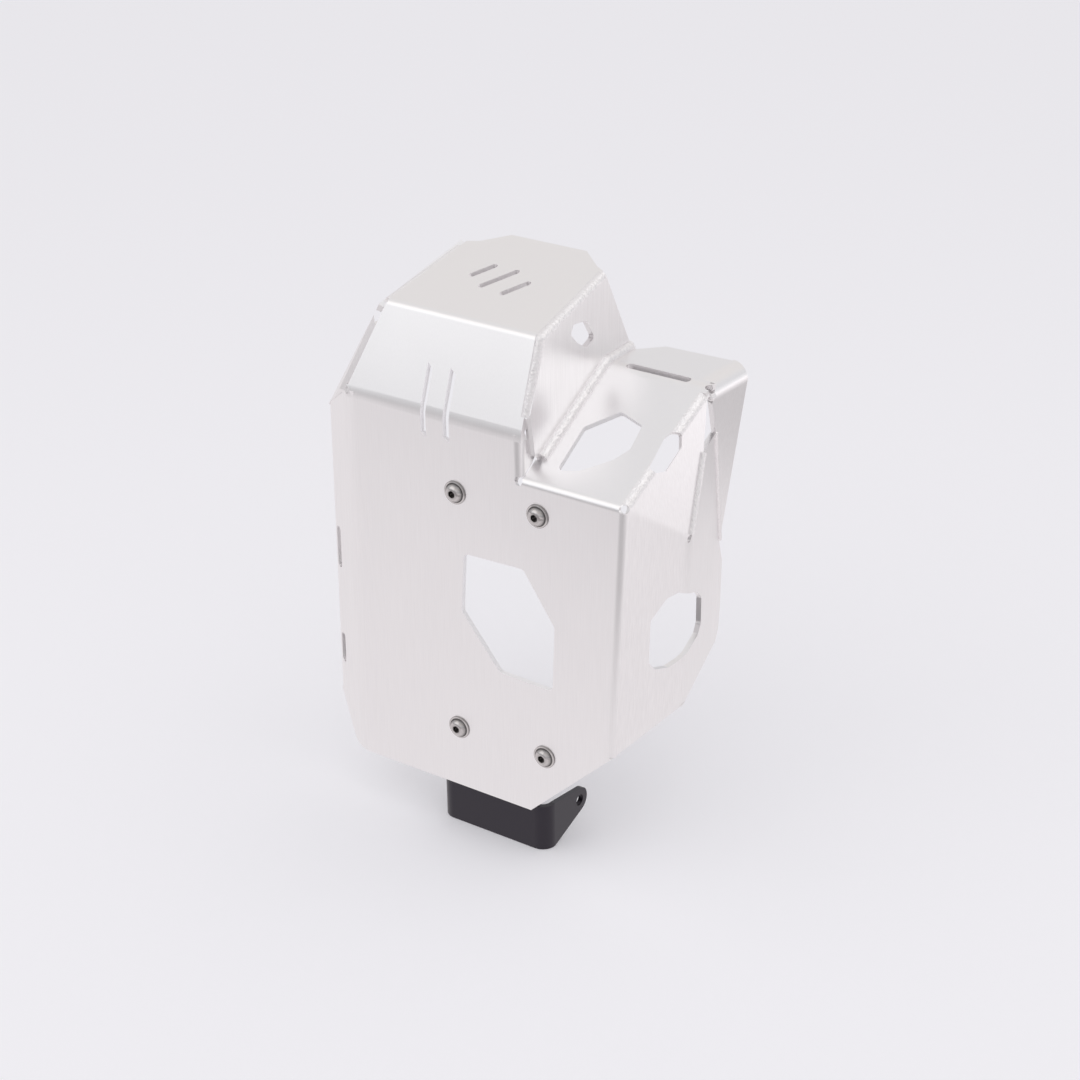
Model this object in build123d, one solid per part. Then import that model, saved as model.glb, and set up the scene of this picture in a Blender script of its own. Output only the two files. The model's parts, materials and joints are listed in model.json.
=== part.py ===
"""Motorcycle skid plate: one folded aluminium sheet with two welded cheeks,
weld beads, and an upper and a lower steel bracket held on by button-head screws.

All sizes are millimetres. The plate is drawn on its own datum: the outer face of
the front panel is y = 0, x runs across it, z runs up, and the datum point is the
middle of the four bracket screws. The finished pieces are moved so that the
origin is the middle of the lower bracket's frame bolt.
"""
from build123d import *
from math import acos, atan2, cos, radians, sin, tan
import os

# sheet and bends
SHEET = 4.0
BEND_R = 6.0            # outer radius of the sharp bends
SOFT_BEND_R = 26.0      # outer radius of the shallow bends
SHELF_BEND_R = 12.0     # outer radius of the bend from shelf to gusset
RELIEF_R = 3.0          # relief holes where bends meet
CUT_R = 5.0             # rounding in the corners of the cut-outs
EDGE_R = 10.0           # rounding of the plate's lower left corner
FIT_GAP = 0.4           # gap left between edges that are only joined by weld

# front panel, on the datum face
WING_X = -130.3         # bend to the left wing
CHEEK_X = 21.0          # right-hand edge of the hood, where the cheek stands
BROW_Z = 151.0          # bend to the brow
RAMP_Z = 118.0          # bend to the ramp of the side box
FOOT_Z = -150.5         # lower edge
TURN_X_TOP = 105.0      # bend to the side box, at the ramp
TURN_TAPER = 2.87       # lean of that bend, degrees
FRONT_LOW_Z = -82.3     # lower end of that bend
TIP_X = 24.8            # lowest corner on the right

# angles of the other panels
BROW_SLOPE = 70.0       # from level
HOOD_RISE = 15.0        # from level
RAMP_RISE = 28.0        # from level
WING_TURN = 30.0        # from the front panel
SIDE_FLARE = 1.47       # left side wall, outward towards the foot
TURN_TURN = 75.0        # box front, from the front panel
FLANK_TOE = 15.8        # box flank, inward towards the back
FLANK_LEAN = 1.9        # box flank, inward towards the foot
GUSSET_TOE = 4.1        # gusset, outward towards the back
GUSSET_LEAN = 8.1       # gusset, inward towards the foot

# hood
HOOD_Z = 216.5          # bend between brow and roof
HOOD_LEFT_X = -107.5    # left end of that bend
WING_W = 35.2           # width of the wing at its top, along the sheet
WING_TOP_Z = 127.6      # outer corner of the wing
WING_FOOT_Z = -116.0    # lower end of the wing's outer bend
WING_FOOT_X = -144.5    # lower corner of the wing
SEAM_Z = 129.0          # top edge of the flank
GUSSET_FOOT_Z = 26.6
FACET_REACH = 0.965     # share of the ramp's edge that the facet follows
GUSSET_BEND_SETBACK = 7.0       # the gusset's bend starts this far behind the crease
FACET_FREE_Y = 96.0
FACET_FREE_Z = 161.7

# right cheek, on its own face as (y, z)
CHEEK_INSET = 3.0       # its edges stand this far inside the faces of brow and roof
CHEEK_TOP_Y = 103.0
CHEEK_FRONT = [(5.0, 163.0), (9.5, 134.5), (13.5, 131.5), (19.5, 129.8)]
CHEEK_FRONT_CHAMFER = 1.8
CHEEK_FOOT_Y = 135.5
LEFT_REAR = (118.0, 190.0)      # rear corner of the left cheek
LEFT_WINDOW_SHARE = (0.05, 0.21)        # its window, as shares of the fold
LEFT_WINDOW_OVER = 2.5          # how far the window reaches over the fold
LEFT_WINDOW_W = 22.0
CHEEK_WINDOW = [(57.0, 207.0), (60.5, 213.5), (77.0, 211.0), (87.0, 195.0), (76.0, 191.0), (64.5, 199.0)]

# cut-outs, as the two free coordinates on their panels
FRONT_CUT = [(-30.1, 47.6), (21.2, 49.3), (47.3, 10.3), (45.1, -42.7), (-0.6, -41.4), (-33.2, -0.4)]
SLOTS = [(-64.2, -59.7), (-44.8, -39.6)]
SLOT_LOW_Z = (134.7, 131.8)
SLOT_TOP_Z = (183.0, 179.5)
RAMP_CUT = [(40.2, 49.5), (59.5, 67.5), (80.5, 61.5), (82.5, 42.5), (75.5, 32.0), (57.0, 18.0), (41.0, 13.5)]
CREASE_SLOT_X = (41.0, 93.0)
CREASE_SLOT_Y = 104.6
CREASE_SLOT_W = 6.5
CORNER_CUT_RAMP = [(103.6, 32.5), (101.3, 56.5), (104.5, 62.5)]
CORNER_CUT_FACET = [(66.3, 150.0), (64.5, 140.0), (46.0, 129.4), (35.5, 131.6)]
BOX_CUT_TURN = [(30.4, -14.5), (29.8, 20.0), (44.0, 32.6), (55.0, 33.4)]
BOX_CUT_FLANK = [(92.5, 15.5), (104.5, 4.0), (107.0, -19.0), (100.0, -24.5)]
BOX_CUT_LOW_Z = -23.0
BOX_CUT_FOOT = [(50.0, -26.0), (37.0, -22.5)]
VENT_MIDDLES = [(-62.0, 77.0, 22.0), (-45.0, 72.0, 32.0), (-27.0, 66.0, 24.0)]
VENT_W = 5.0
VENT_TURN = 58.0        # degrees, from across the roof
WING_SLOTS = [(12.0, 35.0), (-76.0, 26.0)]
WING_SLOT_W = 7.0
WING_SLOT_IN = 8.0      # from the wing's outer bend

# free outlines, as (y, z) or (x, y) on their panels
SIDE_REAR = [(104, 127.6), (110, 110), (110, -20), (84, -72), (48, -108)]
ROOF_REAR = [(-96, 104.3), (-86.2, 107.5), (-67.8, 121.6), (-3.6, 121.6), (13.5, 108.1), (21, 104.3)]
SHELF_REAR = [(47, 148), (32, 133), (25, 133)]
FLANK_REAR = [(162.9, 4.5), (165.5, -35.2), (163.5, -55.9), (156.6, -62.0)]
TAB_OUTLINE = [(0, 119.5), (3, 120), (13, 125.4), (16.5, 129.8), (25, 146), (6.5, 160), (3.3, 160), (0, 151)]

# side box
SHELF_Z = 172.0         # level top
SHELF_BACK_Y = 151.5
FLANK_X = 120.0         # outer face of the flank at y = 60, z = 60
GUSSET_X = 111.8        # outer face of the gusset at y = 120, z = SHELF_Z
BOX_FOOT_Z = -64.5      # lower edge of the flank
FACET_Z = 73.3          # lower corner of the corner facet

# brackets and screws
BRACKET_T = 4.0
BRACKET_BEND_R = 11.0
TOP_SCREW_INSET = 21.0  # upper screws, from the faces of the upper bracket's ears
SCREW_PITCH_LOW = 76.0
SCREW_TOP_Z = 94.5
SCREW_LOW_Z = -99.7
SCREW_D = 8.0
SCREW_HOLE_D = 8.6
SCREW_SHIFT_TOP = -0.8  # middle of each row, from the datum
SCREW_SHIFT_LOW = -0.5
HEAD_FLANGE_D = 17.8
HEAD_D = 14.0
HEAD_H = 4.6
HEAD_FLANGE_H = 1.3
HEX_SOCKET = 5.0
SOCKET_DEPTH = 2.6
SCREW_LEN = 20.0
NUT_FLATS = 13.0
NUT_H = 8.0
NUT_FLANGE_D = 17.9
NUT_FLANGE_H = 1.6
NUT_PLAY = 0.1
EAR_HOLE_D = 9.0
EAR_R = 10.0
EAR_BOLT_Y = 48.6       # frame bolt, behind the front face
LOW_BOLT_Z = -164.5
LOW_EAR_TOP_Z = -149.0
TOP_BOLT_Z = 90.0
BRACKET_L = -61.0       # left face of the lower bracket
BRACKET_R = 36.0        # right face of the lower bracket
LOW_WEB_BOTTOM_Z = -186.5
LOW_WEB_L = -54.0       # left and right edges of the lower bracket's web
LOW_WEB_R = 50.0
LOW_WEB_SHOULDER_Z = -122.0
LOW_WEB_OVER = 15.0     # web above the lower screws
LOW_WEB_CHAMFER = (7.0, 6.0)
TOP_BRACKET_HALF = 56.0
TOP_WEB_UNDER = 14.0    # web below and above the upper screws
TOP_WEB_OVER = 12.0

# weld beads
BEAD_R = 4.6            # along the valley between cheek and box
SEAM_BEAD_R = 2.5       # along the seam between facet and flank
GUSSET_BEAD_R = 1.9     # along the seam between flank and gusset
CORNER_BEAD_R = 4.0     # along the hood's outside corner
INNER_BEAD_R = 3.4      # inside the left cheek
LEFT_SEAM_Y = (28.0, 100.0)
DAB_R = 3.4             # the dab of weld below the box's rear corner
DAB_DROP = 10.0
DAB_SINK = 1.2

front = Plane((0, 0, 0), z_dir=(0, -1, 0))
brow = Plane((0, 0, BROW_Z), z_dir=(0, -sin(radians(BROW_SLOPE)), cos(radians(BROW_SLOPE))))
hood_y = (HOOD_Z - BROW_Z) / tan(radians(BROW_SLOPE))
roof = Plane((0, hood_y, HOOD_Z), z_dir=(0, -sin(radians(HOOD_RISE)), cos(radians(HOOD_RISE))))
ramp = Plane((0, 0, RAMP_Z), z_dir=(0, -sin(radians(RAMP_RISE)), cos(radians(RAMP_RISE))))
shelf = Plane((0, 0, SHELF_Z), z_dir=(0, 0, 1))
wing = Plane((WING_X, 0, 0), z_dir=(-sin(radians(WING_TURN)), -cos(radians(WING_TURN)), 0))
wing_dx = WING_W * cos(radians(WING_TURN))
wing_dy = WING_W * sin(radians(WING_TURN))


def unit(vector):
    return vector.normalized()


def corner(a, b, c):
    """The point that three panel faces share."""
    na, nb, nc = a.z_dir, b.z_dir, c.z_dir
    da, db, dc = (p.origin.dot(p.z_dir) for p in (a, b, c))
    top = nb.cross(nc) * da + nc.cross(na) * db + na.cross(nb) * dc
    return top * (1 / na.dot(nb.cross(nc)))


def on(face, x=None, y=None, z=None):
    """The point of a panel face with two of its coordinates given."""
    n = face.z_dir
    d = face.origin.dot(n)
    if x is None:
        x = (d - n.Y * y - n.Z * z) / n.X
    if y is None:
        y = (d - n.X * x - n.Z * z) / n.Y
    if z is None:
        z = (d - n.X * x - n.Y * y) / n.Z
    return Vector(x, y, z)


def face_through(a, b, c, outward):
    """The plane through three points, facing the side that outward points to."""
    n = unit((b - a).cross(c - a))
    if n.dot(Vector(*outward)) < 0:
        n = n * -1
    return Plane(a, z_dir=n)


turn_line = Vector(sin(radians(TURN_TAPER)), 0, cos(radians(TURN_TAPER)))
turn_back = Vector(cos(radians(TURN_TURN)), sin(radians(TURN_TURN)), 0)
turn = Plane((TURN_X_TOP, 0, RAMP_Z), z_dir=turn_back.cross(turn_line))
flank = Plane((FLANK_X, 60, 60), z_dir=(1, tan(radians(FLANK_TOE)), -tan(radians(FLANK_LEAN))))
gusset = Plane((GUSSET_X, 120, SHELF_Z), z_dir=(1, -tan(radians(GUSSET_TOE)), -tan(radians(GUSSET_LEAN))))
side = Plane((WING_X - wing_dx, wing_dy, WING_TOP_Z), z_dir=(-1, 0, tan(radians(SIDE_FLARE))))
cheek_in = Plane((CHEEK_X, 0, 0), z_dir=(1, 0, 0))
cheek_out = Plane((CHEEK_X + SHEET, 0, 0), z_dir=(1, 0, 0))

# corners of the panels, all on their outer faces
wing_top = corner(front, brow, wing)
hood_left = on(roof, x=HOOD_LEFT_X, y=hood_y)
hood_right = corner(brow, roof, cheek_in)
brow_right = corner(front, brow, cheek_in)
wing_out = on(wing, x=WING_X - wing_dx, z=WING_TOP_Z)
box_front = corner(front, ramp, turn)
box_back = corner(ramp, shelf, gusset)
facet_low = Vector(0, 0, 0)
level = Plane((0, 0, FACET_Z), z_dir=(0, 0, 1))
facet_low = corner(turn, flank, level)
facet = face_through(box_front, box_back, facet_low, (1, 0, 0))
seam_top = corner(facet, flank, Plane((0, 0, SEAM_Z), z_dir=(0, 0, 1)))
gusset_top = corner(gusset, flank, Plane((0, 0, SEAM_Z), z_dir=(0, 0, 1)))
gusset_foot = corner(gusset, flank, Plane((0, 0, GUSSET_FOOT_Z), z_dir=(0, 0, 1)))
crease_foot = corner(turn, flank, Plane((0, 0, BOX_FOOT_Z), z_dir=(0, 0, 1)))
turn_foot = corner(front, turn, Plane((0, 0, FRONT_LOW_Z), z_dir=(0, 0, 1)))
wing_foot = corner(wing, side, Plane((0, 0, WING_FOOT_Z), z_dir=(0, 0, 1)))


def panel(points, face, rounded=None, radius=0):
    """A flat piece of the sheet, from its outer face inward, with one corner rounded if asked."""
    outline = make_face(Polyline(*points, close=True))
    if rounded is not None:
        outline = outline.faces()[0].fillet_2d(radius, [outline.vertices().sort_by_distance(rounded)[0]])
    return extrude(outline, amount=SHEET, dir=face.z_dir * -1)


def opening(points, direction, depth, radius=CUT_R):
    """The tool for a cut-out: an outline on the sheet, pushed through it both ways."""
    base = Plane(points[0], z_dir=direction)
    flat = [base.to_local_coords(p) for p in points]
    outline = make_face(Polyline(*[(p.X, p.Y) for p in flat], close=True))
    if radius:
        outline = fillet(outline.vertices(), radius)
    return base * extrude(outline, amount=depth, both=True)


def bar(start, end, radius):
    """A round bar between two points."""
    way = end - start
    return Plane(start, z_dir=way) * extrude(Circle(radius), amount=way.length)


def bend_points(a, b, start, radius):
    """The middle of a bend's curve, its two tangent points and its way outward."""
    half_turn = radians(a.z_dir.get_angle(b.z_dir)) / 2
    outward = unit(a.z_dir + b.z_dir)
    centre = start - outward * (radius / cos(half_turn))
    return centre, centre + a.z_dir * radius, centre + b.z_dir * radius, outward


def bend_room(a, b, start, end, radius):
    """What a sharp corner has and a bend hasn't: the block that its curve replaces."""
    centre, tangent_a, tangent_b, outward = bend_points(a, b, start, radius)
    block = make_face(Polyline(centre, tangent_a, start + outward * SHEET, tangent_b, close=True))
    return extrude(block, amount=(end - start).length, dir=unit(end - start))


def bend_curve(a, b, start, end, radius):
    """The curved strip of sheet between panels a and b."""
    centre, tangent_a, tangent_b, outward = bend_points(a, b, start, radius)
    inside = radius - SHEET
    inner_a = centre + a.z_dir * inside
    inner_b = centre + b.z_dir * inside
    section = make_face([
        ThreePointArc(tangent_a, centre + outward * radius, tangent_b),
        Line(tangent_b, inner_b),
        ThreePointArc(inner_b, centre + outward * inside, inner_a),
        Line(inner_a, tangent_a),
    ])
    return extrude(section, amount=(end - start).length, dir=unit(end - start))


def relieve(sheet, point, direction, radius=RELIEF_R):
    """A round hole where bends meet, so that the folds don't tear the sheet."""
    hole = Plane(point, z_dir=direction) * extrude(Circle(radius), amount=2 * SHEET, both=True)
    return sheet - hole


def front_panel():
    points = [wing_top, brow_right, Vector(CHEEK_X, 0, RAMP_Z), box_front, turn_foot,
              Vector(TIP_X, 0, FOOT_Z), Vector(WING_X, 0, FOOT_Z)]
    return panel(points, front)


def wing_panel():
    foot = on(wing, x=WING_FOOT_X, z=FOOT_Z)
    return panel([wing_top, Vector(WING_X, 0, FOOT_Z), foot, wing_foot, wing_out], wing, foot, EDGE_R)


def side_panel():
    rear = [on(side, y=y, z=z) for y, z in SIDE_REAR]
    return panel([wing_out, *rear, wing_foot], side)


def brow_panel():
    return panel([wing_top, hood_left, hood_right, brow_right], brow)


def roof_panel():
    rear = [on(roof, x=x, y=y) for x, y in ROOF_REAR]
    return panel([hood_left, *rear, hood_right], roof)


def ramp_panel():
    """The ramp; beside the tab it starts at the tab, further back at the cheek."""
    beside_tab = Plane((CHEEK_X + FIT_GAP, 0, 0), z_dir=(1, 0, 0))
    left_low = corner(front, ramp, beside_tab)
    left_high = corner(shelf, ramp, cheek_out)
    step_y = CHEEK_FRONT[-1][0] - SHEET * sin(radians(RAMP_RISE)) - FIT_GAP
    step = [on(ramp, x=CHEEK_X + SHEET, y=step_y), on(ramp, x=CHEEK_X + FIT_GAP, y=step_y)]
    return panel([left_low, box_front, box_back, left_high, *step], ramp)


def shelf_panel():
    rear = corner(shelf, gusset, Plane((0, SHELF_BACK_Y, 0), z_dir=(0, 1, 0)))
    left_high = corner(shelf, ramp, cheek_out)
    points = [left_high, box_back, rear]
    points += [Vector(x, y, SHELF_Z) for x, y in SHELF_REAR]
    return panel(points, shelf)


def turn_panel():
    return panel([box_front, facet_low, crease_foot, turn_foot], turn)


def flank_panel():
    rear = [on(flank, y=y, z=z) for y, z in FLANK_REAR]
    return panel([facet_low, seam_top, gusset_top, gusset_foot, *rear, crease_foot], flank)


def facet_panel():
    high = box_front + (box_back - box_front) * FACET_REACH
    free = on(facet, y=FACET_FREE_Y, z=FACET_FREE_Z)
    return panel([box_front, high, free, seam_top, facet_low], facet)


def gusset_panel():
    rear = corner(shelf, gusset, Plane((0, SHELF_BACK_Y, 0), z_dir=(0, 1, 0)))
    gap = unit(gusset_top - gusset_foot).cross(gusset.z_dir) * FIT_GAP
    return panel([box_back, rear, gusset_foot + gap, gusset_top + gap], gusset)


def tab_panel():
    points = [on(cheek_in, y=y, z=z) for y, z in TAB_OUTLINE]
    return panel(points, cheek_in)


def sheet_blank():
    """The folded sheet before its bends are rounded and its cut-outs are made."""
    sheet = front_panel()
    for make in (wing_panel, side_panel, brow_panel, roof_panel, ramp_panel, shelf_panel,
                 turn_panel, flank_panel, facet_panel, gusset_panel, tab_panel):
        sheet = sheet + make()
    return sheet


shelf_line = unit(gusset.z_dir.cross(shelf.z_dir)) * (1 if gusset.z_dir.cross(shelf.z_dir).Y > 0 else -1)
gusset_bend_start = box_back + shelf_line * GUSSET_BEND_SETBACK
shelf_rear = corner(shelf, gusset, Plane((0, SHELF_BACK_Y, 0), z_dir=(0, 1, 0)))
RELIEFS = [
    (wing_top + Vector(0, 0, 0), front.z_dir + brow.z_dir + wing.z_dir),
    (Vector(CHEEK_X - 2.5, 0, RAMP_Z - 1), front.z_dir + ramp.z_dir),
    (box_front, front.z_dir + ramp.z_dir + turn.z_dir),
    (facet_low, turn.z_dir + flank.z_dir + facet.z_dir),
    (box_back, ramp.z_dir + shelf.z_dir + gusset.z_dir),
]

BOX_CORNER = (ramp, facet, box_front, box_front + (box_back - box_front) * FACET_REACH, BEND_R)

BENDS = [
    (front, brow, wing_top, brow_right, SOFT_BEND_R),
    (brow, roof, hood_left, hood_right, BEND_R),
    (front, wing, wing_top, Vector(WING_X, 0, FOOT_Z), SOFT_BEND_R),
    (wing, side, wing_out, wing_foot, BEND_R),
    (front, ramp, Vector(CHEEK_X, 0, RAMP_Z), box_front, BEND_R),
    (ramp, shelf, corner(shelf, ramp, cheek_out), box_back, SOFT_BEND_R),
    (front, turn, box_front, turn_foot, BEND_R),
    (turn, flank, facet_low, crease_foot, SOFT_BEND_R),
    (turn, facet, box_front, facet_low, SOFT_BEND_R),
    (shelf, gusset, gusset_bend_start, shelf_rear, SHELF_BEND_R),
    (front, cheek_in, Vector(CHEEK_X, 0, RAMP_Z), brow_right, BEND_R),
]


def front_openings():
    window = opening([Vector(x, 0, z) for x, z in FRONT_CUT], front.z_dir, 2 * SHEET)
    slots = []
    for left, right in SLOTS:
        outline = [
            Vector(left, 0, SLOT_LOW_Z[0]), Vector(right, 0, SLOT_LOW_Z[1]),
            on(brow, x=right, z=SLOT_TOP_Z[1]), on(brow, x=left, z=SLOT_TOP_Z[0]),
        ]
        slots.append(opening(outline, front.z_dir + brow.z_dir, 4 * SHEET, radius=0))
    return [window, *slots]


def box_openings():
    ramp_window = opening([on(ramp, x=x, y=y) for x, y in RAMP_CUT], ramp.z_dir, 2 * SHEET, 4)
    middle_x = sum(CREASE_SLOT_X) / 2
    length = CREASE_SLOT_X[1] - CREASE_SLOT_X[0]
    crease_slot = Pos(middle_x, CREASE_SLOT_Y, SHELF_Z) * extrude(
        SlotOverall(length, CREASE_SLOT_W), amount=3 * SHEET, both=True)
    corner_window = opening(
        [on(ramp, x=x, y=y) for x, y in CORNER_CUT_RAMP]
        + [on(facet, y=y, z=z) for y, z in CORNER_CUT_FACET],
        ramp.z_dir + facet.z_dir, 4 * SHEET, 2)
    crease_low = corner(turn, flank, Plane((0, 0, BOX_CUT_LOW_Z), z_dir=(0, 0, 1)))
    side_window = opening(
        [on(turn, y=y, z=z) for y, z in BOX_CUT_TURN]
        + [on(flank, y=y, z=z) for y, z in BOX_CUT_FLANK]
        + [crease_low] + [on(turn, y=y, z=z) for y, z in BOX_CUT_FOOT],
        turn.z_dir + flank.z_dir, 4 * SHEET, 3)
    return [ramp_window, crease_slot, corner_window, side_window]


def vent_openings():
    """Three slanted slots in the roof."""
    vents = []
    for x, y, length in VENT_MIDDLES:
        place = Plane(on(roof, x=x, y=y), x_dir=(1, 0, 0), z_dir=roof.z_dir)
        slot = Rot(0, 0, VENT_TURN) * SlotOverall(length, VENT_W)
        vents.append(place * extrude(slot, amount=2 * SHEET, both=True))
    return vents


def wing_openings():
    """Upright slots in the left wing, beside its outer bend."""
    along = unit(wing_out - wing_foot)
    slots = []
    for z, length in WING_SLOTS:
        middle = corner(wing, side, Plane((0, 0, z), z_dir=(0, 0, 1)))
        across = unit(along.cross(wing.z_dir))
        if across.X < 0:
            across = across * -1
        place = Plane(middle + across * WING_SLOT_IN, x_dir=along, z_dir=wing.z_dir)
        slots.append(place * extrude(SlotOverall(length, WING_SLOT_W), amount=2 * SHEET, both=True))
    return slots


def screw_places():
    """Each bracket screw: its name and where it crosses the front face."""
    pitch_top = 2 * (TOP_BRACKET_HALF - TOP_SCREW_INSET)
    rows = (("upper", pitch_top, SCREW_TOP_Z, SCREW_SHIFT_TOP),
            ("lower", SCREW_PITCH_LOW, SCREW_LOW_Z, SCREW_SHIFT_LOW))
    return [
        (f"{row}_{hand}", Vector(shift + half * pitch / 2, 0, z))
        for row, pitch, z, shift in rows
        for hand, half in (("left", -1), ("right", 1))
    ]


def screw_holes():
    depth = SHEET + BRACKET_T + 1
    return [
        Plane(place, z_dir=front.z_dir) * extrude(Circle(SCREW_HOLE_D / 2), amount=depth, both=True)
        for _, place in screw_places()
    ]


def folded_sheet():
    sheet = sheet_blank()
    for a, b, start, end, radius in [*BENDS, BOX_CORNER]:
        sheet = sheet - bend_room(a, b, start, end, radius)
    for a, b, start, end, radius in BENDS:
        sheet = sheet + bend_curve(a, b, start, end, radius)
    for point, direction in RELIEFS:
        sheet = relieve(sheet, point, direction)
    for tool in front_openings() + box_openings() + vent_openings() + wing_openings() + screw_holes():
        sheet = sheet - tool
    return sheet.solids().sort_by(SortBy.VOLUME)[-1]


def right_cheek():
    """The flat cheek that closes the right side of the hood and stands on the box."""
    inner_front = Plane(brow.origin - brow.z_dir * CHEEK_INSET, z_dir=brow.z_dir)
    inner_roof = Plane(roof.origin - roof.z_dir * CHEEK_INSET, z_dir=roof.z_dir)
    under_ramp = Plane(ramp.origin - ramp.z_dir * SHEET, z_dir=ramp.z_dir)
    under_shelf = Plane(shelf.origin - shelf.z_dir * SHEET, z_dir=shelf.z_dir)
    points = [
        *[on(cheek_out, y=y, z=z) for y, z in CHEEK_FRONT],
        on(under_ramp, x=CHEEK_X + SHEET, y=CHEEK_FRONT[-1][0]),
        corner(cheek_out, under_ramp, under_shelf),
        on(under_shelf, x=CHEEK_X + SHEET, y=CHEEK_FOOT_Y),
        Vector(CHEEK_X + SHEET, CHEEK_FOOT_Y, SHELF_Z),
        on(inner_roof, x=CHEEK_X + SHEET, y=CHEEK_TOP_Y),
        corner(cheek_out, inner_roof, inner_front),
    ]
    points = [Vector(CHEEK_X + SHEET, p.Y, p.Z) for p in points]
    cheek = panel(points, cheek_out)
    front_middle = (points[0] + points[1]) * 0.5
    cheek = chamfer(cheek.edges().sort_by_distance(front_middle)[0], CHEEK_FRONT_CHAMFER)
    window = opening([on(cheek_out, y=y, z=z) for y, z in CHEEK_WINDOW], cheek_out.z_dir, 2 * SHEET, 2.5)
    return cheek - window


def left_cheek_faces():
    """The outer faces of the left cheek: its facet beside the brow, and its wall under the roof."""
    roof_back = on(roof, x=ROOF_REAR[0][0], y=ROOF_REAR[0][1])
    facet_way = face_through(wing_top, hood_left, wing_out, (-1, 0, 0)).z_dir
    wall_way = face_through(hood_left, wing_out, roof_back, (-1, 0, 0)).z_dir
    outer_facet = face_through(wing_top + facet_way * SHEET, hood_left + facet_way * SHEET, wing_out, (-1, 0, 0))
    outer_wall = face_through(hood_left + wall_way * SHEET, roof_back + wall_way * SHEET, wing_out, (-1, 0, 0))
    return outer_facet, outer_wall


def left_cheek(sheet):
    """The folded cheek on the left, fitted to the sheet."""
    roof_back = on(roof, x=ROOF_REAR[0][0], y=ROOF_REAR[0][1])
    outer_facet, outer_wall = left_cheek_faces()
    fold_top = corner(outer_facet, outer_wall, brow)
    fold_low = corner(outer_facet, outer_wall, Plane((0, 0, WING_TOP_Z), z_dir=(0, 0, 1)))
    facet_points = [corner(outer_facet, brow, front), fold_top, fold_low]
    wall_points = [
        fold_top, on(outer_wall, y=roof_back.Y, z=roof_back.Z), on(outer_wall, y=LEFT_REAR[0], z=LEFT_REAR[1]),
        on(outer_wall, y=SIDE_REAR[0][0], z=WING_TOP_Z), fold_low,
    ]
    cheek = panel(facet_points, outer_facet) + panel(wall_points, outer_wall)
    fold = (outer_facet, outer_wall, fold_low, fold_top, BEND_R)
    cheek = cheek - bend_room(*fold) + bend_curve(*fold)
    window = [fold_top + (fold_low - fold_top) * share for share in LEFT_WINDOW_SHARE]
    back = unit((fold_low - fold_top).cross(outer_wall.z_dir))
    if back.Y < 0:
        back = back * -1
    outline = [
        window[0] - back * LEFT_WINDOW_OVER, window[1] - back * LEFT_WINDOW_OVER,
        window[1] + back * LEFT_WINDOW_W * 0.5, window[0] + (window[1] - window[0]) * 0.5 + back * LEFT_WINDOW_W,
        window[0] + back * LEFT_WINDOW_W * 0.6,
    ]
    cheek = cheek - opening(outline, outer_wall.z_dir, 3 * SHEET, 2) - sheet
    return cheek.solids().sort_by(SortBy.VOLUME)[-1]


def tangent_point(point, centre, radius, turn_sign):
    """Where a line from a point touches a circle, in a flat sketch."""
    away = point - centre
    spread = acos(radius / away.length)
    start = atan2(away.Y, away.X)
    angle = start + turn_sign * spread
    return centre + Vector(cos(angle), sin(angle)) * radius


def ear(root_low, root_high, bolt):
    """A bracket ear's outline in (y, z): from its bend to a round end about the bolt."""
    low = Vector(*root_low)
    high = Vector(*root_high)
    centre = Vector(*bolt)
    touch_low = tangent_point(low, centre, EAR_R, 1)
    touch_high = tangent_point(high, centre, EAR_R, -1)
    end = centre + Vector(EAR_R, 0)
    edges = [
        Line(high, low), Line(low, touch_low),
        ThreePointArc(touch_low, end, touch_high), Line(touch_high, high),
    ]
    return make_face(edges) - Pos(centre) * Circle(EAR_HOLE_D / 2)


def bracket(left, right, web_outline, ear_low, ear_high, bolt_z):
    """A bent steel bracket: a web flat behind the front panel and an ear at each end."""
    back = SHEET + BRACKET_T
    web = extrude(make_face(Polyline(*[Vector(x, SHEET, z) for x, z in web_outline], close=True)),
                  amount=BRACKET_T, dir=(0, 1, 0))
    root = SHEET + BRACKET_BEND_R
    profile = ear((root, ear_low), (root, ear_high), (EAR_BOLT_Y, bolt_z))
    body = web
    for face_x, outward in ((left, -1), (right, 1)):
        place = Plane((face_x, 0, 0), x_dir=(0, 1, 0), z_dir=(1, 0, 0))
        wall = place * extrude(profile, amount=-outward * BRACKET_T)
        inner = BRACKET_BEND_R - BRACKET_T
        middle = Vector(face_x - outward * BRACKET_BEND_R, root, ear_low)
        curve = make_face([
            CenterArc(middle, BRACKET_BEND_R, 270 if outward > 0 else 180, 90),
            CenterArc(middle, inner, 270 if outward > 0 else 180, 90),
            Line(middle - Vector(0, BRACKET_BEND_R, 0), middle - Vector(0, inner, 0)),
            Line(middle + Vector(outward * BRACKET_BEND_R, 0, 0), middle + Vector(outward * inner, 0, 0)),
        ])
        body = body + wall + extrude(curve, amount=ear_high - ear_low, dir=(0, 0, 1))
    for tool in screw_holes():
        body = body - tool
    return body


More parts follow.
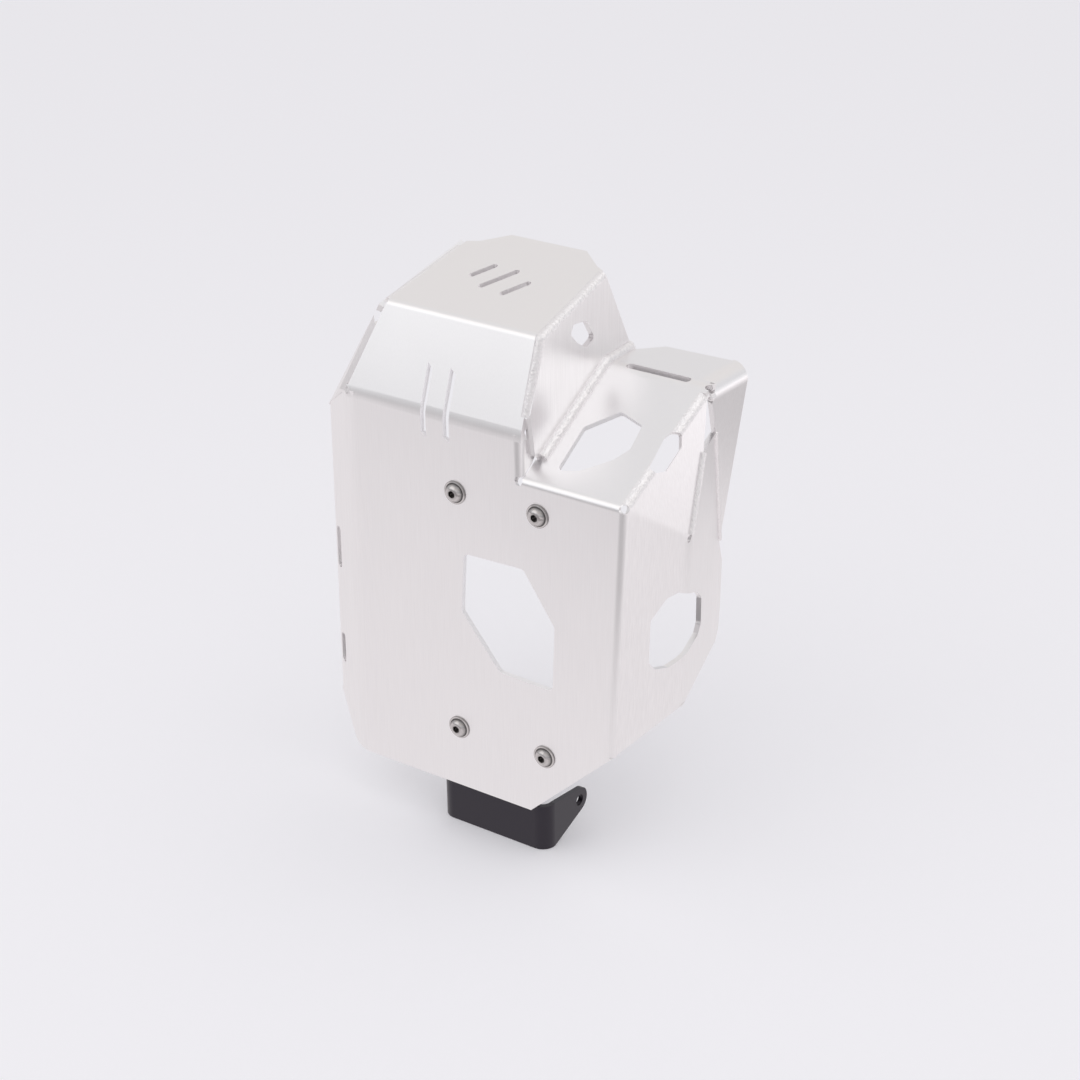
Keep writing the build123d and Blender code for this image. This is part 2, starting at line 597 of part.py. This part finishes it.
def lower_bracket():
    top = SCREW_LOW_Z + LOW_WEB_OVER
    cut_x, cut_z = LOW_WEB_CHAMFER
    bend_l = BRACKET_L + BRACKET_BEND_R
    bend_r = BRACKET_R - BRACKET_BEND_R
    neck = LOW_EAR_TOP_Z
    web = [
        (bend_l, LOW_WEB_BOTTOM_Z), (bend_r, LOW_WEB_BOTTOM_Z), (bend_r, neck), (bend_r + 5, neck + 5),
        (LOW_WEB_R, LOW_WEB_SHOULDER_Z), (LOW_WEB_R, top - cut_z), (LOW_WEB_R - cut_x, top),
        (LOW_WEB_L + cut_x, top), (LOW_WEB_L, top - cut_z), (LOW_WEB_L, neck + 12),
        (bend_l - 3, neck + 3), (bend_l, neck),
    ]
    return bracket(BRACKET_L, BRACKET_R, web, LOW_WEB_BOTTOM_Z, neck, LOW_BOLT_Z)


def upper_bracket():
    low = SCREW_TOP_Z - TOP_WEB_UNDER
    high = SCREW_TOP_Z + TOP_WEB_OVER
    half = TOP_BRACKET_HALF - BRACKET_BEND_R
    web = [(-half, low), (half, low), (half, high), (-half, high)]
    return bracket(-TOP_BRACKET_HALF, TOP_BRACKET_HALF, web, low, high, TOP_BOLT_Z)


def button_screw(place):
    """A flanged button-head screw with a hexagon socket, its head against the front face."""
    rim = HEAD_FLANGE_D / 2
    profile = make_face([
        Line((0, 0), (rim, 0)), Line((rim, 0), (rim, HEAD_FLANGE_H * 0.6)),
        Line((rim, HEAD_FLANGE_H * 0.6), (HEAD_D / 2, HEAD_FLANGE_H)),
        ThreePointArc((HEAD_D / 2, HEAD_FLANGE_H), (HEAD_D * 0.37, HEAD_H * 0.82), (HEX_SOCKET * 0.62, HEAD_H)),
        Line((HEX_SOCKET * 0.62, HEAD_H), (0, HEAD_H)), Line((0, HEAD_H), (0, 0)),
    ])
    head = revolve(Plane.XZ * profile, Axis.Z)
    socket = Pos(0, 0, HEAD_H - SOCKET_DEPTH) * extrude(
        RegularPolygon(HEX_SOCKET / 2, 6, major_radius=False), amount=2 * SOCKET_DEPTH)
    shank = Pos(0, 0, -SCREW_LEN) * extrude(Circle(SCREW_D / 2), amount=SCREW_LEN)
    shank = chamfer(shank.faces().sort_by(Axis.Z)[0].edges(), 0.8)
    return Plane(place, z_dir=front.z_dir) * (head + shank - socket)


def flange_nut(place):
    """A flanged hexagon nut against the back of the bracket."""
    collar = extrude(Circle(NUT_FLANGE_D / 2), amount=NUT_FLANGE_H)
    collar = fillet(collar.edges().sort_by(Axis.Z)[-1], NUT_FLANGE_H / 3)
    hexagon = extrude(RegularPolygon(NUT_FLATS / 2, 6, major_radius=False), amount=NUT_H)
    bore = extrude(Circle(SCREW_D / 2 + NUT_PLAY), amount=NUT_H)
    seat = place + Vector(0, SHEET + BRACKET_T, 0)
    return Plane(seat, z_dir=(0, 1, 0)) * (collar + hexagon - bore)


def bead(points, radius, clear_of, keep_near):
    """A weld bead: a round bar along a seam, less the pieces it joins."""
    body = None
    for start, end in zip(points, points[1:]):
        piece = bar(start, end, radius)
        body = piece if body is None else body + piece
    for knee in points[1:-1]:
        body = body + Pos(knee) * Sphere(radius)
    for piece in clear_of:
        body = body - piece
    return body.solids().sort_by_distance(keep_near)[0]


def seam(points, radius, joined, outward):
    """The weld bead on a seam, kept on the side that outward points to."""
    middle = (points[0] + points[1]) * 0.5 + outward * radius
    return bead(points, radius, joined, middle)


def cheek_box_bead(sheet, cheek):
    """The bead in the valley where the right cheek stands on the box."""
    points = [
        on(ramp, x=CHEEK_X + SHEET, y=CHEEK_FRONT[-1][0]), corner(cheek_out, ramp, shelf),
        Vector(CHEEK_X + SHEET, CHEEK_FOOT_Y - 1.5, SHELF_Z),
    ]
    return seam(points, BEAD_R, [sheet, cheek], unit(Vector(1, 0, 0) + ramp.z_dir))


def hood_right_bead(sheet, cheek):
    """The rounded bead in the outside corner between hood and right cheek."""
    inner_front = Plane(brow.origin - brow.z_dir * CHEEK_INSET, z_dir=brow.z_dir)
    inner_roof = Plane(roof.origin - roof.z_dir * CHEEK_INSET, z_dir=roof.z_dir)
    points = [
        on(inner_front, x=CHEEK_X, z=CHEEK_FRONT[0][1]), corner(cheek_in, inner_front, inner_roof),
        on(inner_roof, x=CHEEK_X, y=CHEEK_TOP_Y),
    ]
    return seam(points, CORNER_BEAD_R, [sheet, cheek], unit(Vector(1, 0, 0) + brow.z_dir))


def left_seams(sheet, cheek):
    """The beads inside the left cheek: under the roof, and above the side wall."""
    outer_wall = left_cheek_faces()[1]
    inner_wall = Plane(outer_wall.origin - outer_wall.z_dir * SHEET, z_dir=outer_wall.z_dir)
    under_roof = Plane(roof.origin - roof.z_dir * SHEET, z_dir=roof.z_dir)
    inner_side = Plane(side.origin - side.z_dir * SHEET, z_dir=side.z_dir)
    ends = [Plane((0, y, 0), z_dir=(0, 1, 0)) for y in LEFT_SEAM_Y]
    top = [corner(inner_wall, under_roof, end) for end in ends]
    low = [corner(inner_side, Plane((0, 0, WING_TOP_Z), z_dir=(0, 0, 1)), end) for end in ends]
    return (seam(top, INNER_BEAD_R, [sheet, cheek], Vector(1, 0, 0)),
            seam(low, INNER_BEAD_R, [sheet, cheek], Vector(1, 0, 0)))


def box_corner_bead(sheet):
    """The seam between ramp and facet, dressed to a round and parted by the corner cut-out."""
    strip = bend_curve(*BOX_CORNER) - box_openings()[2] - sheet
    for point, direction in RELIEFS:
        strip = relieve(strip, point, direction)
    return Compound(strip.solids().sort_by(SortBy.VOLUME)[-2:])


def box_side_beads(sheet):
    """The beads between facet and flank, and between flank and gusset, and the corner dab."""
    facet_side = seam([facet_low + (seam_top - facet_low) * 0.05, seam_top], SEAM_BEAD_R, [sheet],
                      unit(facet.z_dir + flank.z_dir))
    gusset_side = seam([gusset_foot + (gusset_top - gusset_foot) * 0.02, gusset_top], GUSSET_BEAD_R, [sheet],
                       unit(gusset.z_dir + flank.z_dir))
    out = unit(ramp.z_dir + facet.z_dir + gusset.z_dir)
    place = box_back + unit(gusset_top - box_back) * DAB_DROP + (shelf_line - unit(out)) * DAB_SINK
    dab = Pos(place) * Sphere(DAB_R) - sheet
    dab = dab.solids().sort_by_distance(place + unit(out) * DAB_R)[0]
    return facet_side, gusset_side, dab


def all_pieces():
    """Every piece of the plate by its node name."""
    sheet = folded_sheet()
    cheek_right = right_cheek()
    cheek_left = left_cheek(sheet)
    top_seam, low_seam = left_seams(sheet, cheek_left)
    facet_side, gusset_side, dab = box_side_beads(sheet)
    pieces = {
        "skid_sheet": sheet,
        "cheek_right": cheek_right,
        "cheek_left": cheek_left,
        "bead_cheek_box": cheek_box_bead(sheet, cheek_right),
        "bead_hood_right": hood_right_bead(sheet, cheek_right),
        "bead_hood_left": top_seam,
        "bead_wing_left": low_seam,
        "bead_box_corner": box_corner_bead(sheet),
        "bead_box_side": facet_side,
        "bead_gusset": gusset_side,
        "bead_dab": dab,
        "lower_bracket": lower_bracket(),
        "upper_bracket": upper_bracket(),
    }
    for name, place in screw_places():
        pieces[f"screw_{name}"] = button_screw(place)
        pieces[f"nut_{name}"] = flange_nut(place)
    return pieces


os.makedirs("parts", exist_ok=True)
bolt_middle = Vector((BRACKET_L + BRACKET_R) / 2, EAR_BOLT_Y, LOW_BOLT_Z)
for name, piece in all_pieces().items():
    export_step(Pos(-bolt_middle) * piece, f"parts/{name}.step")
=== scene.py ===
"""A folded and welded aluminium skid plate on a pale studio floor.

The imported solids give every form. This script gives them their finishes:
brushed sheet, as-welded beads, satin black brackets and stainless screws.
All lengths are metres.
"""
import bpy
import bmesh
import json
from math import pi
from mathutils import Matrix, Vector


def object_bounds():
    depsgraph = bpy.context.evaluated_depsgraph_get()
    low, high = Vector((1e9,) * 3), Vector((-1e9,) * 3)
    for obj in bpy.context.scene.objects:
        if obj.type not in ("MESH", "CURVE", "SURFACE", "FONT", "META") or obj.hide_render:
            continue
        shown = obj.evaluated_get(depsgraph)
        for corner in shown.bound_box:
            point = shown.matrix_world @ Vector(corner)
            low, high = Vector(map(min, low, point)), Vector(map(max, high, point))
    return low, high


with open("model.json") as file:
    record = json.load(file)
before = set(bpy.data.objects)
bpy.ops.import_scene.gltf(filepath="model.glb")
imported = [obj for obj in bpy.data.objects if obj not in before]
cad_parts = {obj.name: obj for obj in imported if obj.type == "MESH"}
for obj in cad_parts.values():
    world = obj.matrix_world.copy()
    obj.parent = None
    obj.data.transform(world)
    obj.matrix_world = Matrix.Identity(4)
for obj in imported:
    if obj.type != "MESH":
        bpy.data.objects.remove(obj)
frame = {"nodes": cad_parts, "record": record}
cad_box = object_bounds()
nodes = frame["nodes"]

FLOOR_DROP = 0.0005         # the floor's distance under the lowest bracket edge
FLOOR_HALF = 6.0            # half the floor's width
FLOOR_GLOW = 0.20           # share of the floor's own colour that no shadow dims
SHEET = 0.004               # thickness of the plate
RIM_SLACK = 0.0002          # how far past the sheet's two faces its rims are looked for
RIM_TURN = 0.3              # a face leaning less than this towards the panel is a rim

# colours of the background, the floor, its reflection, the dome from the zenith down, and the lamps
PALE = (0.855, 0.845, 0.885, 1.0)
FLOOR = (0.97, 0.965, 1.0, 1.0)
SKY = (0.99, 0.957, 0.974, 1.0)
ZENITH = (0.985, 0.985, 1.0, 1.0)
WARM = (0.985, 0.955, 0.936, 1.0)
HORIZON = (0.96, 0.965, 0.99, 1.0)
LAMP = (0.965, 0.98, 0.985)
# white of the cut rims, a painted highlight
PAINTED_RIM_HIGHLIGHT = (1.0, 0.985, 1.0, 1.0)

# panels whose cut rims get a painted highlight: outward way, its distance, and the box that holds their
# openings
RIMMED_PANELS = [
    ((0.0, -1.0, 0.0), 0.0486, (-0.03, -0.05, 0.11), (0.07, -0.04, 0.225)),
    ((0.0, -0.9397, 0.3420), 0.15358, (-0.06, -0.06, 0.31), (-0.02, -0.02, 0.36)),
    ((0.0, -1.0, 0.0), 0.0486, (-0.06, -0.05, 0.285), (-0.02, -0.04, 0.32)),
    ((0.0, -0.4695, 0.8829), 0.27228, (0.03, -0.05, 0.27), (0.11, 0.04, 0.35)),
]

# middles of the four bracket screws, as (x, z)
SCREWS = [(-0.0233, 0.259), (0.0467, 0.259), (-0.026, 0.0648), (0.05, 0.0648)]
# painted reflections and painted shade in rings on a screw's head: distance from its axis in
# centimetres, and the grey there
SCREW_SHEEN_AND_SHADE_RINGS = [
    (0.24, 0.08), (0.31, 0.50), (0.50, 0.62), (0.63, 0.42), (0.70, 0.10),
    (0.745, 0.14), (0.78, 0.66), (0.85, 0.60), (0.89, 0.30),
]

# bands of the floor as reflections see it: way, where the change starts and ends, level before and after
TO_CAMERA = (0.58, -0.81, 0.0)
TO_BACK = (0.6525, 0.7578, 0.0)
TO_SIDE = (1.0, 0.0, 0.0)
FLOOR_BANDS = [
    (TO_CAMERA, (0.36, 0.50), (0.88, 0.50)),
    (TO_BACK, (0.50, 0.64), (1.0, 0.70)),
    (TO_SIDE, (0.60, 0.72), (1.0, 6.0)),
]
WHITE = 1.0                 # cap on the product of the bands

# soft boxes: name, place, aim, width, height and radiance
SOFT_BOXES = [
    ("front_box", (-0.75, -1.15, 1.12), (0.0, -0.05, 0.42), 1.3, 1.30, 0.42),
    ("side_box", (1.25, 1.05, 0.28), (0.1, 0.0, 0.3), 0.9, 0.6, 0.35),
    ("top_box", (0.70, 0.12, 1.33), (0.08, 0.02, 0.33), 0.9, 0.9, 0.46),
]


def set_camera():
    """The photograph's camera: its place, its three axes and its lens."""
    place = Vector((0.847513, -1.220647, 0.962462))
    right = Vector((0.829536, 0.558331, -0.011695))
    up = Vector((-0.244495, 0.381926, 0.891266))
    back = Vector((0.502088, -0.736478, 0.45333))
    data = bpy.data.cameras.new("camera")
    data.lens = 76.667
    data.sensor_width = 36.0
    camera = bpy.data.objects.new("camera", data)
    axes = Matrix((right, up, back)).transposed().to_4x4()
    camera.matrix_world = Matrix.Translation(place) @ axes
    bpy.context.scene.collection.objects.link(camera)
    bpy.context.scene.camera = camera


set_camera()


class Maker:
    """Short calls that add and link shader nodes in one tree."""

    def __init__(self, tree):
        self.tree = tree

    def add(self, kind, values=None, links=None, **settings):
        made = self.tree.nodes.new(kind)
        for key, value in settings.items():
            setattr(made, key, value)
        for key, value in (values or {}).items():
            made.inputs[key].default_value = value
        for key, source in (links or {}).items():
            self.tree.links.new(source, made.inputs[key])
        return made

    def math(self, operation, first, second=None, third=None):
        made = self.tree.nodes.new("ShaderNodeMath")
        made.operation = operation
        for slot, value in zip(made.inputs, (first, second, third)):
            if value is None:
                continue
            if isinstance(value, (int, float)):
                slot.default_value = value
            else:
                self.tree.links.new(value, slot)
        return made.outputs[0]

    def dot(self, vector, way):
        made = self.add("ShaderNodeVectorMath", {1: way}, {0: vector}, operation="DOT_PRODUCT")
        return made.outputs["Value"]

    def mix(self, factor, first, second, blend="MIX"):
        made = self.tree.nodes.new("ShaderNodeMix")
        made.data_type = "RGBA"
        made.blend_type = blend
        for key, value in ((0, factor), (6, first), (7, second)):
            if isinstance(value, (int, float, tuple)):
                made.inputs[key].default_value = value
            else:
                self.tree.links.new(value, made.inputs[key])
        return made.outputs[2]


def new_material(name):
    """A material with one principled shader, and the maker of its nodes."""
    material = bpy.data.materials.new(name)
    material.use_nodes = True
    material.node_tree.nodes.clear()
    maker = Maker(material.node_tree)
    shader = maker.add("ShaderNodeBsdfPrincipled")
    output = maker.add("ShaderNodeOutputMaterial")
    maker.tree.links.new(shader.outputs[0], output.inputs[0])
    return material, maker, shader


def group_tree(name, inputs, outputs):
    """An empty node group with the sockets it is given."""
    tree = bpy.data.node_groups.new(name, "ShaderNodeTree")
    for label, kind, default in inputs:
        socket = tree.interface.new_socket(label, in_out="INPUT", socket_type=kind)
        if default is not None:
            socket.default_value = default
    for label, kind in outputs:
        tree.interface.new_socket(label, in_out="OUTPUT", socket_type=kind)
    maker = Maker(tree)
    return tree, maker, maker.add("NodeGroupInput"), maker.add("NodeGroupOutput")


def grain_group():
    """Brushing: long fine streaks along one way, with a slow cloud over them."""
    tree, maker, given, out = group_tree(
        "brushed_grain",
        [("Vector", "NodeSocketVector", None), ("Fineness", "NodeSocketFloat", 900.0),
         ("Stretch", "NodeSocketFloat", 0.03)],
        [("Streaks", "NodeSocketFloat"), ("Cloud", "NodeSocketFloat")])
    parts = maker.add("ShaderNodeSeparateXYZ", links={0: given.outputs["Vector"]})
    across_x = maker.math("MULTIPLY", parts.outputs[0], given.outputs["Fineness"])
    across_y = maker.math("MULTIPLY", parts.outputs[1], given.outputs["Fineness"])
    along = maker.math("MULTIPLY", parts.outputs[2], given.outputs["Fineness"])
    along = maker.math("MULTIPLY", along, given.outputs["Stretch"])
    place = maker.add("ShaderNodeCombineXYZ", links={0: across_x, 1: across_y, 2: along})
    fine = maker.add("ShaderNodeTexNoise", {"Scale": 1.0, "Detail": 3.0, "Roughness": 0.6},
                     {"Vector": place.outputs[0]})
    broad = maker.add("ShaderNodeTexNoise", {"Scale": 14.0, "Detail": 2.0, "Roughness": 0.5},
                      {"Vector": given.outputs["Vector"]})
    maker.tree.links.new(fine.outputs["Fac"], out.inputs["Streaks"])
    maker.tree.links.new(broad.outputs["Fac"], out.inputs["Cloud"])
    return tree


GRAIN = grain_group()


def rim_group():
    """One on the cut rims of the openings, whose faces stand across their panel."""
    tree, maker, given, out = group_tree(
        "cut_rims", [("Vector", "NodeSocketVector", None), ("Facing", "NodeSocketVector", None)],
        [("Rim", "NodeSocketFloat")])
    total = 0.0
    for way, surface, box_low, box_high in RIMMED_PANELS:
        depth = maker.dot(given.outputs["Vector"], way)
        inside = maker.math("COMPARE", depth, surface - SHEET / 2, SHEET / 2 + RIM_SLACK)
        turned = maker.dot(given.outputs["Facing"], way)
        across = maker.math("LESS_THAN", maker.math("ABSOLUTE", turned), RIM_TURN)
        here = maker.math("MULTIPLY", inside, across)
        parts = maker.add("ShaderNodeSeparateXYZ", links={0: given.outputs["Vector"]})
        for index in range(3):
            middle = (box_low[index] + box_high[index]) / 2
            half = (box_high[index] - box_low[index]) / 2
            boxed = maker.math("COMPARE", parts.outputs[index], middle, half)
            here = maker.math("MULTIPLY", here, boxed)
        total = maker.math("MAXIMUM", total, here)
    maker.tree.links.new(total, out.inputs["Rim"])
    return tree


RIM = rim_group()


def place_group(maker, tree, values, links):
    """A node group placed in a material with its own values."""
    made = maker.add("ShaderNodeGroup", node_tree=tree)
    for key, value in values.items():
        made.inputs[key].default_value = value
    for key, source in links.items():
        maker.tree.links.new(source, made.inputs[key])
    return made


def brushed_aluminium():
    """Streaks show most on upright panels that face sideways, and cut rims are painted pale and
    non-metal as a painted highlight.
    """
    material, maker, shader = new_material("brushed_aluminium")
    where = maker.add("ShaderNodeTexCoord")
    grain = place_group(maker, GRAIN, {"Fineness": 1500.0, "Stretch": 0.02},
                        {"Vector": where.outputs["Object"]})
    geometry = maker.add("ShaderNodeNewGeometry")
    facing = maker.add("ShaderNodeSeparateXYZ", links={0: geometry.outputs["Normal"]})
    upright = maker.math("SUBTRACT", 1.0, maker.math("ABSOLUTE", facing.outputs[2]))
    sideways = maker.math("MULTIPLY_ADD", maker.math("ABSOLUTE", facing.outputs[0]), 0.6, 0.45)
    streaks = maker.math("SUBTRACT", grain.outputs["Streaks"], 0.5)
    streaks = maker.math("MULTIPLY", streaks, maker.math("MULTIPLY", upright, sideways))
    streaks = maker.math("ADD", streaks, 0.5)
    light = maker.mix(streaks, (0.80, 0.785, 0.79, 1), (1.0, 0.985, 0.99, 1))
    rim = place_group(maker, RIM, {}, {
        "Vector": where.outputs["Object"], "Facing": geometry.outputs["Normal"]})
    # cut rims turn white and non-metal here: a painted highlight
    maker.tree.links.new(maker.mix(rim.outputs["Rim"], light, PAINTED_RIM_HIGHLIGHT), shader.inputs["Base Color"])
    maker.tree.links.new(maker.math("SUBTRACT", 1.0, rim.outputs["Rim"]), shader.inputs["Metallic"])
    rough = maker.math("MULTIPLY_ADD", grain.outputs["Cloud"], 0.10, 0.27)
    maker.tree.links.new(rough, shader.inputs["Roughness"])
    bump = maker.add("ShaderNodeBump", {"Strength": 0.10, "Distance": 0.0001},
                     {"Height": grain.outputs["Streaks"]})
    maker.tree.links.new(bump.outputs[0], shader.inputs["Normal"])
    return material


def weld_metal():
    """Pale metal with fine lumps."""
    material, maker, shader = new_material("weld_metal")
    where = maker.add("ShaderNodeTexCoord")
    lumps = maker.add("ShaderNodeTexNoise", {"Scale": 620.0, "Detail": 1.0, "Roughness": 0.5},
                      {"Vector": where.outputs["Object"]})
    tone = maker.mix(lumps.outputs["Fac"], (0.84, 0.82, 0.825, 1), (1.0, 0.975, 0.98, 1))
    maker.tree.links.new(tone, shader.inputs["Base Color"])
    shader.inputs["Metallic"].default_value = 1.0
    shader.inputs["Roughness"].default_value = 0.42
    bump = maker.add("ShaderNodeBump", {"Strength": 0.7, "Distance": 0.0010},
                     {"Height": lumps.outputs["Fac"]})
    maker.tree.links.new(bump.outputs[0], shader.inputs["Normal"])
    return material


def black_coat():
    """Satin black coat with a fine peel."""
    material, maker, shader = new_material("black_coat")
    where = maker.add("ShaderNodeTexCoord")
    peel = maker.add("ShaderNodeTexNoise", {"Scale": 1500.0, "Detail": 2.0, "Roughness": 0.5},
                     {"Vector": where.outputs["Object"]})
    tone = maker.mix(peel.outputs["Fac"], (0.009, 0.007, 0.011, 1), (0.015, 0.012, 0.018, 1))
    maker.tree.links.new(tone, shader.inputs["Base Color"])
    shader.inputs["Roughness"].default_value = 0.36
    shader.inputs["Specular IOR Level"].default_value = 0.43
    shader.inputs["Specular Tint"].default_value = (1.0, 0.95, 1.08, 1.0)
    bump = maker.add("ShaderNodeBump", {"Strength": 0.15, "Distance": 0.0001},
                     {"Height": peel.outputs["Fac"]})
    maker.tree.links.new(bump.outputs[0], shader.inputs["Normal"])
    return material


def stainless():
    """Polished steel, with rings painted about each screw's axis: painted reflections on the dome and
    flange, painted shade in the socket and the crevice.
    """
    material, maker, shader = new_material("stainless")
    where = maker.add("ShaderNodeTexCoord")
    marks = maker.add("ShaderNodeTexNoise", {"Scale": 700.0, "Detail": 3.0, "Roughness": 0.6},
                      {"Vector": where.outputs["Object"]})
    parts = maker.add("ShaderNodeSeparateXYZ", links={0: where.outputs["Object"]})
    reach = 1.0
    for x, z in SCREWS:
        away_x = maker.math("SUBTRACT", parts.outputs[0], x)
        away_z = maker.math("SUBTRACT", parts.outputs[2], z)
        away = maker.math("ADD", maker.math("POWER", away_x, 2.0), maker.math("POWER", away_z, 2.0))
        reach = maker.math("MINIMUM", reach, maker.math("SQRT", away))
    # the ramp's greys are painted reflections (light rings) and painted shade (dark socket and crevice
    # rings)
    rings = maker.add("ShaderNodeValToRGB", links={0: maker.math("MULTIPLY", reach, 100.0)})
    rings.color_ramp.elements[0].position = 0.0
    rings.color_ramp.elements[0].color = (0.14, 0.13, 0.13, 1)
    rings.color_ramp.elements[1].position = 1.0
    rings.color_ramp.elements[1].color = (0.30, 0.27, 0.265, 1)
    for place, grey in SCREW_SHEEN_AND_SHADE_RINGS:
        mark = rings.color_ramp.elements.new(place)
        mark.color = (grey, grey * 0.955, grey * 0.945, 1)
    wear = maker.math("MULTIPLY_ADD", marks.outputs["Fac"], 0.3, 0.85)
    tone = maker.mix(1.0, rings.outputs["Color"], wear, "MULTIPLY")
    maker.tree.links.new(tone, shader.inputs["Base Color"])
    shader.inputs["Metallic"].default_value = 1.0
    rough = maker.math("MULTIPLY_ADD", marks.outputs["Fac"], 0.10, 0.14)
    maker.tree.links.new(rough, shader.inputs["Roughness"])
    return material


FINISH = {
    "brushed_aluminium": brushed_aluminium(),
    "weld": weld_metal(),
    "black_coat": black_coat(),
    "stainless": stainless(),
}
slot_of = {part["node"]: part["material_slot"] for part in frame["record"]["subparts"]}
for name, node in nodes.items():
    node.data.materials.clear()
    node.data.materials.append(FINISH[slot_of[name]])


def fade(maker, point, way, reach, values):
    """A value that changes smoothly between two distances along one way."""
    limits = {"From Min": reach[0], "From Max": reach[1], "To Min": values[0], "To Max": values[1]}
    along = {"Value": maker.dot(point, way)}
    made = maker.add("ShaderNodeMapRange", limits, along, interpolation_type="SMOOTHSTEP")
    return made.outputs["Result"]


def studio_floor():
    """The floor: the background's colour and shadow to the camera, and soft bands in reflections."""
    mesh = bpy.data.meshes.new("floor")
    shape = bmesh.new()
    bmesh.ops.create_grid(shape, x_segments=1, y_segments=1, size=FLOOR_HALF)
    low = cad_box[0][2] - FLOOR_DROP
    bmesh.ops.translate(shape, verts=shape.verts, vec=(0, 0, low))
    shape.to_mesh(mesh)
    shape.free()
    floor = bpy.data.objects.new("floor", mesh)
    bpy.context.scene.collection.objects.link(floor)
    material, maker, shader = new_material("pale_floor")
    shader.inputs["Base Color"].default_value = FLOOR
    shader.inputs["Roughness"].default_value = 0.9
    shader.inputs["Specular IOR Level"].default_value = 0.0
    place = maker.add("ShaderNodeTexCoord").outputs["Object"]
    level = 1.0
    for way, reach, values in FLOOR_BANDS:
        level = maker.math("MULTIPLY", level, fade(maker, place, way, reach, values))
    level = maker.math("MINIMUM", level, WHITE)
    mirrored = maker.add("ShaderNodeEmission", {"Color": SKY}, {"Strength": level})
    glow = maker.add("ShaderNodeEmission", {"Color": PALE, "Strength": 1.0})
    path = maker.add("ShaderNodeLightPath")
    seen = maker.add("ShaderNodeMixShader", {0: FLOOR_GLOW}, {1: shader.outputs[0], 2: glow.outputs[0]})
    blend = maker.add("ShaderNodeMixShader", links={
        0: path.outputs["Is Camera Ray"], 1: shader.outputs[0], 2: seen.outputs[0]})
    blend = maker.add("ShaderNodeMixShader", links={
        0: path.outputs["Is Glossy Ray"], 1: blend.outputs[0], 2: mirrored.outputs[0]})
    output = [n for n in maker.tree.nodes if n.type == "OUTPUT_MATERIAL"][0]
    maker.tree.links.new(blend.outputs[0], output.inputs[0])
    mesh.materials.append(material)
    return floor


def studio_world():
    """A pale dome, dimmer towards the horizon."""
    world = bpy.data.worlds.new("studio")
    bpy.context.scene.world = world
    world.use_nodes = True
    world.node_tree.nodes.clear()
    maker = Maker(world.node_tree)
    where = maker.add("ShaderNodeTexCoord")
    dome = fade(maker, where.outputs["Generated"], (0.0, 0.0, 1.0), (0.0, 0.32), (0.55, 0.84))
    height = fade(maker, where.outputs["Generated"], (0.0, 0.0, 1.0), (0.3, 0.65), (0.0, 1.0))
    top = fade(maker, where.outputs["Generated"], (0.0, 0.0, 1.0), (0.72, 0.85), (0.0, 1.0))
    tint = maker.mix(top, maker.mix(height, HORIZON, WARM), ZENITH)
    light = maker.add("ShaderNodeBackground", links={"Color": tint, "Strength": dome})
    backdrop = maker.add("ShaderNodeBackground", {"Color": PALE, "Strength": 1.0})
    path = maker.add("ShaderNodeLightPath")
    blend = maker.add("ShaderNodeMixShader", links={
        0: path.outputs["Is Camera Ray"], 1: light.outputs[0], 2: backdrop.outputs[0]})
    maker.add("ShaderNodeOutputWorld", links={0: blend.outputs[0]})


def soft_box(name, place, aim, width, height, radiance):
    """A rectangular soft box of a given brightness, which the camera doesn't see."""
    data = bpy.data.lights.new(name, "AREA")
    data.shape = "RECTANGLE"
    data.size = width
    data.size_y = height
    data.energy = radiance * pi * width * height
    data.color = LAMP
    lamp = bpy.data.objects.new(name, data)
    lamp.visible_camera = False
    way = (Vector(aim) - Vector(place)).to_track_quat("-Z", "Y")
    lamp.matrix_world = Matrix.Translation(place) @ way.to_matrix().to_4x4()
    bpy.context.scene.collection.objects.link(lamp)


studio_floor()
studio_world()
for box in SOFT_BOXES:
    soft_box(*box)

bpy.context.scene.view_settings.view_transform = "Standard"
